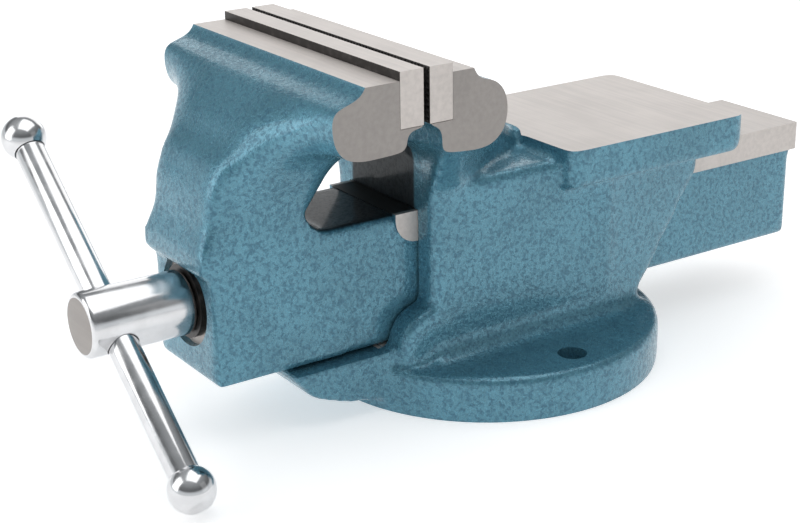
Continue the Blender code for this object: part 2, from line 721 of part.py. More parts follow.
def knob(name, centre, side, parent):
    """Ball end with a flat crown and a drilled seat for the bar; side is -1 at the upper end."""
    radius = KNOB_DIAMETER / 2
    profile = []
    for step in range(11):
        lean = math.radians(-52 + 110 * step / 10)
        profile.append((radius * math.cos(lean), centre + side * radius * math.sin(lean)))
    ball = turned(name, profile, "X", (0, 0, 0), 32, BRIGHT_STEEL, parent)
    mouth = centre - side * radius
    ends = sorted((mouth - side * 5, mouth + side * (KNOB_SEAT + GAP)))
    cut(ball, cylinder(f"{name}_seat", HANDLE_DIAMETER / 2 + GAP, "X", (0, 0, 0), *ends, 32, None, parent))


def handle(parent):
    """Sliding bar through the screw's head, with a knob at each end."""
    radius, ball = HANDLE_DIAMETER / 2, KNOB_DIAMETER / 2
    low = -HANDLE_UPPER + ball - KNOB_SEAT
    high = HANDLE_LOWER - ball + KNOB_SEAT
    cylinder("handle_bar", radius, "X", (0, 0, 0), low, high, 48, BRIGHT_STEEL, parent)
    knob("handle_knob_upper", -HANDLE_UPPER, -1, parent)
    knob("handle_knob_lower", HANDLE_LOWER, 1, parent)


def build():
    clear_scene()
    fixed_body()
    jaw_plate("rear_jaw_plate", REAR_PLATE_FRONT, REAR_PLATE_FRONT, 1)
    plate_screws("rear", REAR_PLATE_FRONT, 1)
    lead_nut()
    nut_bolt()

    moving_jaw()
    jaw_plate("front_jaw_plate", FRONT_PLATE_BACK, FRONT_PLATE_FACE, -1)
    plate_screws("front", FRONT_PLATE_FACE, -1)

    screw_axis = empty("screw_axis", (0, HANDLE_Y, SCREW_Z))
    lead_screw(screw_axis)
    screw_fittings(screw_axis)

    handle_axis = empty("handle_axis", (0, 0, 0), (0, HANDLE_TILT, 0), screw_axis)
    handle(handle_axis)


PAINTED_IRON = material("hammered_paint", (0.07, 0.22, 0.30), 0.35, 0.2)
GROUND_STEEL = material("ground_steel", (0.55, 0.52, 0.49), 0.35, 0.9)
BRIGHT_STEEL = material("bright_steel", (0.75, 0.75, 0.76), 0.15, 1.0)
DARK_STEEL = material("dark_steel", (0.06, 0.06, 0.065), 0.4, 0.9)
SPRING_STEEL = material("spring_steel", (0.25, 0.25, 0.26), 0.35, 1.0)
CAST_NUT = material("cast_nut", (0.18, 0.17, 0.16), 0.55, 0.8)

build()
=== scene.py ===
"""Bench vise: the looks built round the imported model.

Run as a script. Each operator below makes one piece, or one group of like pieces, in metres.
"""

import math

import bpy
from bpy.props import FloatProperty, FloatVectorProperty, IntProperty, PointerProperty
from mathutils import Matrix, Vector


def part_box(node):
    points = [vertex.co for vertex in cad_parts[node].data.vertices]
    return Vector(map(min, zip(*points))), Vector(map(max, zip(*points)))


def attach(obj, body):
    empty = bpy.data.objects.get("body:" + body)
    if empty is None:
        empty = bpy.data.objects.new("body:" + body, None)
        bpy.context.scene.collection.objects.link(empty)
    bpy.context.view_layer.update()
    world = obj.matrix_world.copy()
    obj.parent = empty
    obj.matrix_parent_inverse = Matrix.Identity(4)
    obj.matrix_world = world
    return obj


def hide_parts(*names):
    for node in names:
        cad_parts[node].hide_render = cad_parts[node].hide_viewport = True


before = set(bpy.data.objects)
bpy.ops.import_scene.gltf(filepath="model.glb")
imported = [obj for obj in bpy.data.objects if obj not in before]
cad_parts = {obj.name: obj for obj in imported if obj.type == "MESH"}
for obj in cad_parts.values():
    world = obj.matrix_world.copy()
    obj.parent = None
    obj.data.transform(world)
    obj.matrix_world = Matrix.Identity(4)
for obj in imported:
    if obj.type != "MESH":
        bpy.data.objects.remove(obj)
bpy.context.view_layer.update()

bl_info = {
    "name": "Bench Vise",
    "version": (1, 0, 0),
    "blender": (4, 5, 0),
    "location": "View3D > Sidebar > Vise",
    "description": "Builds the castings, jaw plates, screw and handle of a bench vise",
    "category": "Object",
}

MM = 0.001
OVERRUN = 5 * MM        # machining allowance left on a casting, then cut off
SPARE = 2 * MM          # the same, inside its hollows
REACH = 300 * MM        # longer than any cut needs
NEAR = 0.1 * MM         # how far off a plane a face on it may lie
FLAT = 0.99             # least part of a normal along an axis for a face square to it

# Painted shade between the jaws, darkening the throat under the head: each pair is the two ends of
# a fade at one of its borders.
THROAT_SHADE_SIDE = (25.2 * MM, 27.6 * MM)
THROAT_SHADE_FRONT = (-128 * MM, -119 * MM)
THROAT_SHADE_REAR = (-59 * MM, -57.5 * MM)
THROAT_SHADE_BOTTOM = (92.5 * MM, 93.7 * MM)
THROAT_SHADE_TOP = (136 * MM, 150 * MM)
THROAT_SHADE_COVER = 0.95

# The stretch of the moving jaw's neck that is blended into its head.
NECK_LOW, NECK_HIGH, NECK_BACK = 94 * MM, 160 * MM, -128 * MM
NECK_FADE = 10 * MM
NECK_ROUNDING = 50


# ---------------------------------------------------------------- sizes and colours


class ViseSizes(bpy.types.PropertyGroup):
    """Sizes of what is shaped here; the rest comes from the frame."""

    casting_grain: FloatProperty(
        name="Casting grain", description="Spacing of the points on a cast surface",
        default=2.0 * MM, unit="LENGTH",
    )
    casting_rounding: IntProperty(
        name="Casting rounding", description="How many times a cast surface is relaxed",
        default=10,
    )
    guide_height: FloatProperty(
        name="Guide height", description="Height of the machined strip along the beam",
        default=14.9 * MM, unit="LENGTH",
    )
    guide_start: FloatProperty(
        name="Guide start", description="Where the strip starts, in front of the body",
        default=12.0 * MM, unit="LENGTH",
    )
    tooth_pitch: FloatProperty(
        name="Tooth pitch", description="Spacing of the teeth on a jaw plate",
        default=2.5 * MM, unit="LENGTH",
    )
    tooth_height: FloatProperty(
        name="Tooth height", description="Height of the teeth on a jaw plate",
        default=0.55 * MM, unit="LENGTH",
    )
    thread_pitch: FloatProperty(
        name="Thread pitch", description="Lead of the screw",
        default=5.0 * MM, unit="LENGTH",
    )
    thread_depth: FloatProperty(
        name="Thread depth", description="Depth of the screw's thread",
        default=2.2 * MM, unit="LENGTH",
    )


class ViseColours(bpy.types.PropertyGroup):
    """Colours of the finishes."""

    paint_light: FloatVectorProperty(
        name="Paint, light", description="Raised part of the hammered paint",
        subtype="COLOR", size=3, default=(0.098, 0.270, 0.355),
    )
    paint_dark: FloatVectorProperty(
        name="Paint, dark", description="Hollows of the hammered paint",
        subtype="COLOR", size=3, default=(0.020, 0.095, 0.160),
    )
    machined: FloatVectorProperty(
        name="Machined iron", description="Bare cut faces of the castings and plates",
        subtype="COLOR", size=3, default=(0.56, 0.515, 0.485),
    )
    bright: FloatVectorProperty(
        name="Bright steel", description="Screw head and handle",
        subtype="COLOR", size=3, default=(0.72, 0.72, 0.73),
    )
    black: FloatVectorProperty(
        name="Black oxide", description="Unground faces of the plates, collar and fasteners",
        subtype="COLOR", size=3, default=(0.040, 0.036, 0.034),
    )


# ---------------------------------------------------------------- shader maths


class Signal:
    """A number or colour on a shader socket; arithmetic on it adds Math nodes."""

    def __init__(self, finish, socket):
        self.finish = finish
        self.socket = socket

    def math(self, operation, *values):
        """A Math node on these values."""
        inputs = dict(enumerate(values))
        return self.finish.add("ShaderNodeMath", {"operation": operation}, inputs)

    def __abs__(self):
        return self.math("ABSOLUTE", self)

    def __add__(self, other):
        return self.math("ADD", self, other)

    __radd__ = __add__

    def __sub__(self, other):
        return self.math("SUBTRACT", self, other)

    def __rsub__(self, other):
        return self.math("SUBTRACT", other, self)

    def __mul__(self, other):
        return self.math("MULTIPLY", self, other)

    __rmul__ = __mul__

    def ramp(self, low, high):
        """0 below low, 1 above high, smooth between."""
        return self.finish.add(
            "ShaderNodeMapRange",
            {"interpolation_type": "SMOOTHSTEP"},
            {0: self, 1: low, 2: high, 3: 0.0, 4: 1.0},
        )


class Nodes:
    """A node tree that nodes are added to."""

    def __init__(self, tree):
        self.tree = tree

    def feed(self, socket, value):
        """Links a signal to a socket, or sets a plain value on it."""
        if isinstance(value, Signal):
            self.tree.links.new(value.socket, socket)
        else:
            socket.default_value = value

    def add(self, kind, settings=None, inputs=None, output=0):
        """A new node: its settings first, then its sockets; gives one of its outputs."""
        node = self.tree.nodes.new(kind)
        for name, value in (settings or {}).items():
            setattr(node, name, value)
        for name, value in (inputs or {}).items():
            self.feed(node.inputs[name], value)
        return Signal(self, node.outputs[output])


class Finish(Nodes):
    """A material on a Principled shader, read in object coordinates."""

    def __init__(self, name, metallic, coat=0.0):
        self.material = bpy.data.materials.new(f"vise_{name}")
        self.material.use_nodes = True
        super().__init__(self.material.node_tree)
        self.shader = self.tree.nodes["Principled BSDF"]
        self.shader.inputs["Metallic"].default_value = metallic
        self.shader.inputs["Coat Weight"].default_value = coat
        self.shader.inputs["Coat Roughness"].default_value = 0.12
        self.place = self.add("ShaderNodeTexCoord", output="Object")

    def stretched(self, scale):
        """Coordinates that draw a noise pattern out along the axes of small scale."""
        inputs = {"Vector": self.place, "Scale": scale}
        return self.add("ShaderNodeMapping", None, inputs)

    def noise(self, scale, detail=2.0, vector=None, distortion=0.0, roughness=0.5):
        """Soft noise from 0 to 1."""
        inputs = {
            "Vector": vector or self.place, "Scale": scale, "Detail": detail,
            "Distortion": distortion, "Roughness": roughness,
        }
        return self.add("ShaderNodeTexNoise", None, inputs)

    def cells(self, scale):
        """Rounded cells, lowest at their middles."""
        inputs = {"Vector": self.place, "Scale": scale}
        return self.add("ShaderNodeTexVoronoi", {"feature": "SMOOTH_F1"}, inputs)

    def along(self, axis):
        """How far along an axis a point lies."""
        output = "XYZ".index(axis)
        return self.add("ShaderNodeSeparateXYZ", None, {0: self.place}, output)

    def throat_painted_shade(self):
        """Mask of painted shade in the throat: 1 on the beam's top and the neck between the jaws,
        fading out round them.
        """
        x, y, z = (self.along(axis) for axis in "XYZ")
        wander = (self.noise(90, 3.0) - 0.5) * (6 * MM)
        across = 1 - abs(x).ramp(*THROAT_SHADE_SIDE)
        along = (y + wander).ramp(*THROAT_SHADE_FRONT) * (1 - y.ramp(*THROAT_SHADE_REAR))
        up = z.ramp(*THROAT_SHADE_BOTTOM) * (1 - (z + wander).ramp(*THROAT_SHADE_TOP))
        return across * along * up

    def blend(self, factor, first, second):
        """A colour between two, by factor."""
        inputs = {0: factor}
        for index, colour in ((6, first), (7, second)):
            inputs[index] = colour if isinstance(colour, Signal) else (*colour, 1.0)
        return self.add("ShaderNodeMix", {"data_type": "RGBA"}, inputs, output=2)

    def colour(self, value):
        """Sets the base colour."""
        self.feed(self.shader.inputs["Base Color"], value)

    def roughness(self, value):
        """Sets the roughness."""
        self.feed(self.shader.inputs["Roughness"], value)

    def bump(self, height, distance, strength):
        """Raises the surface by a height pattern."""
        inputs = {"Height": height, "Distance": distance, "Strength": strength}
        normal = self.add("ShaderNodeBump", None, inputs)
        self.feed(self.shader.inputs["Normal"], normal)


def tint(colour, share):
    """A colour made lighter or darker by a share."""
    return tuple(min(1.0, channel * share) for channel in colour)


def hammered_paint():
    """Metallic enamel that dries into small dimples, darker in its hollows."""
    colours = bpy.context.scene.vise_colours
    paint = Finish("hammered_paint", metallic=0.42, coat=0.35)
    flecks = paint.noise(470, 2.5, distortion=0.5, roughness=0.6).ramp(0.44, 0.63)
    grain = paint.noise(1100, 2.0).ramp(0.40, 0.70)
    pools = paint.noise(28, 2.0).ramp(0.3, 0.7)
    light = paint.blend(pools, tuple(colours.paint_light), tint(colours.paint_light, 0.82))
    speckled = paint.blend(flecks * 0.66, light, tuple(colours.paint_dark))
    lively = paint.blend(grain * 0.30, speckled, tint(colours.paint_light, 1.5))
    # Painted shade: the paint in the throat between the jaws is blended to near black here.
    painted_shade = paint.throat_painted_shade()
    paint.colour(paint.blend(painted_shade * THROAT_SHADE_COVER, lively, (0.010, 0.011, 0.012)))
    paint.roughness(0.27 + flecks * 0.15 + painted_shade * 0.35)
    dimples = paint.cells(330)
    paint.bump(dimples * 0.8 - flecks * 0.4 + grain * 0.2, 0.30 * MM, 0.6)
    return paint.material


def machined_iron():
    """Bare milled iron with fine parallel streaks."""
    return milled("machined_iron", 1.12)


def sawn_iron():
    """Duller cut ends of the jaw castings."""
    return milled("sawn_iron", 0.60)


def milled(name, share):
    """Cut iron in the given share of the machined colour."""
    colours = bpy.context.scene.vise_colours
    metal = Finish(name, metallic=0.4)
    streaks = metal.noise(1.0, 3.0, metal.stretched((14, 420, 420)))
    clouds = metal.noise(40, 3.0)
    shade = (streaks * 0.6 + clouds * 0.4).ramp(0.3, 0.7)
    dark, light = (tint(colours.machined, part * share) for part in (0.9, 1.08))
    clean = metal.blend(shade, dark, light)
    # Painted shade: the cut iron in the throat between the jaws is blended to near black here.
    painted_shade = metal.throat_painted_shade()
    metal.colour(metal.blend(painted_shade * THROAT_SHADE_COVER, clean, (0.012, 0.012, 0.012)))
    metal.roughness(0.40 + streaks * 0.16 + painted_shade * 0.15)
    metal.bump(streaks, 0.03 * MM, 0.35)
    return metal.material


def bright_steel():
    """Polished steel with faint turning and handling marks."""
    colours = bpy.context.scene.vise_colours
    metal = Finish("bright_steel", metallic=1.0)
    turning = metal.noise(1.0, 2.0, metal.stretched((60, 1500, 60)))
    wear = metal.noise(120, 4.0)
    handled = tint(colours.bright, 0.90)
    metal.colour(metal.blend(wear.ramp(0.35, 0.7), handled, tuple(colours.bright)))
    metal.roughness(0.13 + wear.ramp(0.4, 0.75) * 0.10 + turning * 0.05)
    metal.bump(turning * 0.5 + wear * 0.5, 0.02 * MM, 0.25)
    return metal.material


def black_oxide():
    """Heat-blackened steel, a little brown where it has rubbed."""
    colours = bpy.context.scene.vise_colours
    metal = Finish("black_oxide", metallic=0.7)
    rub = metal.noise(220, 4.0).ramp(0.45, 0.75)
    metal.colour(metal.blend(rub, tuple(colours.black), tint(colours.black, 2.2)))
    metal.roughness(0.34 + rub * 0.2)
    metal.bump(rub, 0.03 * MM, 0.3)
    return metal.material


def thread_steel():
    """Oiled cut thread."""
    metal = Finish("thread_steel", metallic=1.0)
    film = metal.noise(160, 3.0).ramp(0.3, 0.8)
    metal.colour(metal.blend(film, (0.34, 0.33, 0.32), (0.50, 0.49, 0.47)))
    metal.roughness(0.24 + film * 0.2)
    metal.bump(film, 0.03 * MM, 0.3)
    return metal.material


def raw_iron():
    """Rough bare casting of the nut."""
    metal = Finish("raw_iron", metallic=0.6)
    skin = metal.noise(500, 4.0)
    metal.colour(metal.blend(skin.ramp(0.35, 0.7), (0.10, 0.095, 0.09), (0.20, 0.19, 0.18)))
    metal.roughness(0.5 + skin * 0.2)
    metal.bump(skin, 0.2 * MM, 0.5)
    return metal.material


def spring_steel():
    """Drawn wire."""
    metal = Finish("spring_steel", metallic=1.0)
    drawn = metal.noise(600, 3.0)
    metal.colour(metal.blend(drawn.ramp(0.4, 0.7), (0.20, 0.20, 0.21), (0.34, 0.34, 0.35)))
    metal.roughness(0.28 + drawn * 0.15)
    return metal.material


MAKERS = {
    "hammered_paint": hammered_paint,
    "machined_iron": machined_iron,
    "sawn_iron": sawn_iron,
    "bright_steel": bright_steel,
    "black_oxide": black_oxide,
    "thread_steel": thread_steel,
    "raw_iron": raw_iron,
    "spring_steel": spring_steel,
}
FINISHED = {}


def finish(name):
    """The finish of that name, made on first use."""
    if name not in FINISHED:
        FINISHED[name] = MAKERS[name]()
    return FINISHED[name]


# ---------------------------------------------------------------- modelling helpers


def only(piece):
    """Makes this the one selected and active object."""
    if bpy.context.object and bpy.context.object.mode != "OBJECT":
        bpy.ops.object.mode_set(mode="OBJECT")
    bpy.ops.object.select_all(action="DESELECT")
    piece.select_set(True)
    bpy.context.view_layer.objects.active = piece


def settle(piece):
    """Puts the object at the origin, unturned and unscaled, with its place in its mesh."""
    only(piece)
    bpy.ops.object.transform_apply(location=True, rotation=True, scale=True)
    return piece


def named(name):
    """Names the object just added and settles it."""
    piece = bpy.context.object
    piece.name = name
    piece.data.name = name
    return settle(piece)


def slab(name, low, high):
    """A box between two corners."""
    low, high = Vector(low), Vector(high)
    bpy.ops.object.select_all(action="DESELECT")
    bpy.ops.mesh.primitive_cube_add(size=1, location=(low + high) / 2)
    bpy.context.object.scale = high - low
    return named(name)


AXIS_TURNS = {"X": (0, math.pi / 2, 0), "Y": (-math.pi / 2, 0, 0), "Z": (0, 0, 0)}


def rod(name, radius, axis, centre, low, high, sides=96):
    """A cylinder from low to high along an axis through a centre."""
    index = "XYZ".index(axis)
    middle = Vector(centre)
    middle[index] += (low + high) / 2
    bpy.ops.object.select_all(action="DESELECT")
    bpy.ops.mesh.primitive_cylinder_add(
        vertices=sides, radius=radius, depth=high - low, location=middle, rotation=AXIS_TURNS[axis],
    )
    return named(name)


def apply_modifier(piece, kind, **settings):
    """Adds a modifier with these settings and applies it."""
    only(piece)
    step = piece.modifiers.new(kind.lower(), kind)
    for name, value in settings.items():
        setattr(step, name, value)
    bpy.ops.object.modifier_apply(modifier=step.name)


def round_edges(piece, width, segments, degrees):
    """Bevels the edges that are sharper than an angle."""
    apply_modifier(
        piece, "BEVEL", width=width, segments=segments,
        limit_method="ANGLE", angle_limit=math.radians(degrees),
    )


def combine(piece, other, operation, solver="MANIFOLD"):
    """Joins to, or cuts from, a piece; the other shape is used up."""
    apply_modifier(piece, "BOOLEAN", operation=operation, object=other, solver=solver)
    bpy.data.objects.remove(other, do_unlink=True)


def cut(piece, *cutters, solver="MANIFOLD"):
    """Cuts each of these shapes from a piece."""
    for cutter in cutters:
        combine(piece, cutter, "DIFFERENCE", solver)


def copy_of(node, name):
    """A merged copy of a CAD node's mesh."""
    piece = bpy.data.objects.new(name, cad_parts[node].data.copy())
    piece.data.name = name
    piece.data.materials.clear()
    bpy.context.collection.objects.link(piece)
    only(piece)
    bpy.ops.object.mode_set(mode="EDIT")
    bpy.ops.mesh.select_all(action="SELECT")
    bpy.ops.mesh.remove_doubles(threshold=0.005 * MM)
    bpy.ops.object.mode_set(mode="OBJECT")
    return piece


def edit_faces(piece, test):
    """Enters edit mode with the faces that pass a test selected."""
    only(piece)
    bpy.context.tool_settings.mesh_select_mode = (False, False, True)
    mesh = piece.data
    for group in (mesh.vertices, mesh.edges):
        group.foreach_set("select", [False] * len(group))
    for face in mesh.polygons:
        face.select = test(face)
    bpy.ops.object.mode_set(mode="EDIT")


def leave_allowance(piece, test, shift):
    """Draws out the faces that pass a test, so that a later cut finds full material."""
    edit_faces(piece, test)
    bpy.ops.mesh.extrude_region_move(TRANSFORM_OT_translate={"value": shift})
    bpy.ops.object.mode_set(mode="OBJECT")


def push_faces(piece, test, shift):
    """Moves the faces that pass a test."""
    edit_faces(piece, test)
    bpy.ops.transform.translate(value=shift)
    bpy.ops.object.mode_set(mode="OBJECT")


def close_up(piece):
    """Merges doubles, fills open ends and turns the faces outwards."""
    only(piece)
    bpy.ops.object.mode_set(mode="EDIT")
    bpy.ops.mesh.select_all(action="SELECT")
    bpy.ops.mesh.remove_doubles(threshold=0.002 * MM)
    bpy.ops.mesh.select_all(action="SELECT")
    bpy.ops.mesh.fill_holes(sides=40)
    bpy.ops.mesh.select_all(action="SELECT")
    bpy.ops.mesh.normals_make_consistent(inside=False)
    bpy.ops.object.mode_set(mode="OBJECT")


def cast_surface(piece):
    """Turns a sharp solid into one with the soft edges and fillets of a casting."""
    sizes = bpy.context.scene.vise_sizes
    grain = sizes.casting_grain
    apply_modifier(piece, "REMESH", mode="VOXEL", voxel_size=grain, adaptivity=0.0)
    apply_modifier(piece, "SMOOTH", factor=0.5, iterations=sizes.casting_rounding)


def relax_neck(piece):
    """Blends the moving jaw's neck into its head; the hood and the throat stay as they are."""

    def share(depth):
        return min(1.0, max(0.0, depth / NECK_FADE))

    group = piece.vertex_groups.new(name="neck")
    for vertex in piece.data.vertices:
        _, y, z = vertex.co
        weight = share(z - NECK_LOW) * share(NECK_HIGH - z) * share(NECK_BACK - y)
        if weight > 0:
            group.add([vertex.index], weight, "REPLACE")
    apply_modifier(piece, "SMOOTH", factor=0.5, iterations=NECK_ROUNDING, vertex_group="neck")
    piece.vertex_groups.clear()


def faces_towards(axis, sign, at):
    """A test for faces whose normal is along an axis, and that lie at a place on it."""
    index = "XYZ".index(axis)

    def test(face):
        return face.normal[index] * sign >= 0.999 and abs(face.center[index] - at) < 2 * NEAR

    return test


def paint_faces(piece, base, special=()):
    """Gives a piece its base finish, and others on the faces that pass their tests."""
    piece.data.materials.clear()
    names = [base] + [name for name, _ in special]
    for name in names:
        piece.data.materials.append(finish(name))
    for face in piece.data.polygons:
        face.material_index = 0
        for index, (_, test) in enumerate(special, start=1):
            if test(face):
                face.material_index = index
                break


def smooth_shade(piece, degrees=30):
    """Shades smoothly across edges that are blunter than an angle."""
    only(piece)
    bpy.ops.object.shade_smooth_by_angle(angle=math.radians(degrees))


def hand_over(piece, body, slot, *nodes):
    """The piece stands for its CAD nodes and moves with their body."""
    settle(piece)
    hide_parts(*nodes)
    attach(piece, body)


def box_of(node):
    """A node's lowest and highest corners."""
    low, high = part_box(node)
    return Vector(low), Vector(high)


def largest_plane(node, axis, sign, low, high):
    """Place of the largest flat face towards an axis, between two places on it."""
    index = "XYZ".index(axis)
    areas = {}
    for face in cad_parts[node].data.polygons:
        at = round(face.center[index] / MM, 2) * MM
        if face.normal[index] * sign > 0.9999 and low <= at <= high:
            areas[at] = areas.get(at, 0) + face.area
    return max(areas, key=areas.get)


BODY_HIGH = box_of("fixed_body")[1]
JAW_HIGH = box_of("moving_jaw")[1]
REAR_PLATE_LOW, REAR_PLATE_HIGH = box_of("rear_jaw_plate")
FRONT_PLATE_LOW, FRONT_PLATE_HIGH = box_of("front_jaw_plate")
SCREW_LOW, SCREW_HIGH = box_of("lead_screw")
COLLAR_LOW, COLLAR_HIGH = box_of("thrust_collar")
NUT_LOW, NUT_HIGH = box_of("lead_nut")
SPRING_LOW, SPRING_HIGH = box_of("retraction_spring")
SEAT_WASHER_LOW = box_of("spring_seat_washer")[0]
PIN_LOW, PIN_HIGH = box_of("cotter_pin")
PLATE_SCREW_LOW, PLATE_SCREW_HIGH = box_of("rear_jaw_screw_left")
UPPER_LOW, UPPER_HIGH = box_of("handle_knob_upper")
LOWER_LOW, LOWER_HIGH = box_of("handle_knob_lower")

GAP = 0.3 * MM          # between touching pieces
PLATE_GAP = GAP / 2     # behind a jaw plate
JAW_HALF = JAW_HIGH.x
LEDGE_TOP = JAW_HIGH.z
SEAT = REAR_PLATE_LOW.z - GAP
REAR_PLATE_BACK = REAR_PLATE_HIGH.y + PLATE_GAP
FRONT_PLATE_BACK = FRONT_PLATE_LOW.y - PLATE_GAP
SCREW_Z = (COLLAR_LOW.z + COLLAR_HIGH.z) / 2
FLOOR_Z = NUT_LOW.z - GAP
UPPER_KNOB = (UPPER_LOW + UPPER_HIGH) / 2
LOWER_KNOB = (LOWER_LOW + LOWER_HIGH) / 2
HANDLE_WAY = (LOWER_KNOB - UPPER_KNOB).normalized()
HANDLE_CENTRE = Vector((0, UPPER_KNOB.y, SCREW_Z))
HANDLE_TILT = math.atan2(-HANDLE_WAY.z, HANDLE_WAY.x)
UPPER_REACH = -(UPPER_KNOB - HANDLE_CENTRE).length
LOWER_REACH = (LOWER_KNOB - HANDLE_CENTRE).length
NUT_Y = (NUT_LOW.y + NUT_HIGH.y) / 2

# Each plane is looked for between the two places at the end of its line.
BEAM_TOP = largest_plane("moving_jaw", "Z", 1, 0.085, 0.105)
SLIDE_ROOF = largest_plane("fixed_body", "Z", -1, 0.085, 0.105)
ANVIL_TOP = largest_plane("fixed_body", "Z", 1, 0.111, 0.125)
SLIDE_HALF = largest_plane("fixed_body", "X", -1, 0.026, 0.034)
STRIP_HALF = largest_plane("moving_jaw", "X", 1, 0.0284, 0.034)
HOLLOW_HALF = largest_plane("moving_jaw", "X", -1, 0.014, 0.024)
HOLLOW_TOP = largest_plane("moving_jaw", "Z", -1, 0.07, 0.09)
WALL_BACK = SEAT_WASHER_LOW.y - GAP
RECESS_FACE = COLLAR_HIGH.y + GAP
BLOCK_FRONT = RECESS_FACE - 3.5 * MM        # the recess is that deep
BODY_FRONT = largest_plane("fixed_body", "Y", -1, -0.07, -0.05)
ANVIL_FRONT = BODY_FRONT + 73.5 * MM        # the anvil's setback
HEAD_BOTTOM = 100 * MM                      # below both jaw heads' ends

BORE_RADIUS = 11.4 * MM
RECESS_RADIUS = 21 * MM
BASE_TOP = 22.1 * MM
BOLT_RADIUS, BOLT_REACH = 7.1 * MM, 70.7 * MM
NUT_POCKET_RADIUS, NUT_POCKET_DEPTH, NUT_SHANK_RADIUS = 10 * MM, 9 * MM, 5.3 * MM
HOOD_RISE = 18 * MM                         # the hood's underside over the screw's axis
GUIDE_CORNER = 12 * MM                      # radius of the guide strip's run-out
GUIDE_PROUD, GUIDE_RISE = 0.7 * MM, 0.6 * MM
SCREW_RADIUS, SCREW_HEAD_RADIUS = 11 * MM, 15 * MM
CROSS_HOLE_RADIUS, BAR_RADIUS, KNOB_RADIUS = 7.4 * MM, 7 * MM, 10.5 * MM
OVERSIZE = 50 * MM                          # half the width of the cut that crowns a knob
JOURNAL_PAST_SPRING = 12 * MM
PIN_HOLE_RADIUS = 2.3 * MM
BAR_SEAT, KNOB_MOUTH = 5.5 * MM, 5.2 * MM   # bar's end and mouth's floor, from a knob's centre
PLATE_SCREW_X = 45 * MM
PLATE_SCREW_Z = (PLATE_SCREW_LOW.z + PLATE_SCREW_HIGH.z) / 2
PLATE_SCREW_DEPTH = 12.3 * MM               # into the casting
PLATE_HOLE_RADIUS, PLATE_HEAD_RADIUS, PLATE_HEAD_DEPTH = 3.8 * MM, 6.8 * MM, 1.2 * MM


# ---------------------------------------------------------------- pieces


def machine_head(piece, plate_back, into):
    """Machines a jaw's ledge and ends, the rebate for its plate and the plate's screw holes."""
    past = JAW_HALF + 2 * OVERRUN
    front, back = sorted((plate_back, plate_back - into * 30 * MM))
    around = (plate_back - 60 * MM, plate_back + 60 * MM)
    tops = slab("above", (-past, around[0], LEDGE_TOP), (past, around[1], REACH))
    cut(piece, tops, slab("rebate", (-past, front, SEAT), (past, back, REACH)))
    depth = sorted((plate_back - into * OVERRUN, plate_back + into * PLATE_SCREW_DEPTH))
    for sign in (-1, 1):
        near, far = sorted((sign * JAW_HALF, sign * past))
        cut(piece, slab("end", (near, -REACH, HEAD_BOTTOM), (far, REACH, REACH)))
        place = (sign * PLATE_SCREW_X, 0, PLATE_SCREW_Z)
        cut(piece, rod("hole", PLATE_HOLE_RADIUS, "Y", place, *depth, sides=32))


def fill_rebate(piece, plate_back, into):
    """Fills the corner where the plate will sit, so that it is cut out of full material."""
    low, high = sorted((plate_back + into * SPARE, plate_back - into * 12 * MM))
    past = JAW_HALF + OVERRUN
    fill = slab("fill", (-past, low, SEAT - 1 * MM), (past, high, LEDGE_TOP + OVERRUN))
    combine(piece, fill, "UNION", "EXACT")


def leave_head_allowance(piece):
    """Leaves an allowance on a jaw's top and its two ends."""
    leave_allowance(piece, faces_towards("Z", 1, LEDGE_TOP), (0, 0, OVERRUN))
    for sign in (-1, 1):
        leave_allowance(piece, faces_towards("X", sign, sign * JAW_HALF), (sign * OVERRUN, 0, 0))


def is_head_cut(face):
    """Faces of a head that the mill has touched."""
    centre, normal = face.center, face.normal
    if normal.z > FLAT:
        return centre.z > LEDGE_TOP - NEAR or abs(centre.z - SEAT) < NEAR
    behind = min(abs(centre.y - REAR_PLATE_BACK), abs(centre.y - FRONT_PLATE_BACK)) < NEAR
    return abs(normal.y) > FLAT and centre.z > SEAT and behind


def is_head_end(face):
    """The flat ends of a jaw casting."""
    on_end = abs(abs(face.center.x) - JAW_HALF) < NEAR and face.center.z > SLIDE_ROOF
    return on_end and abs(face.normal.x) > FLAT


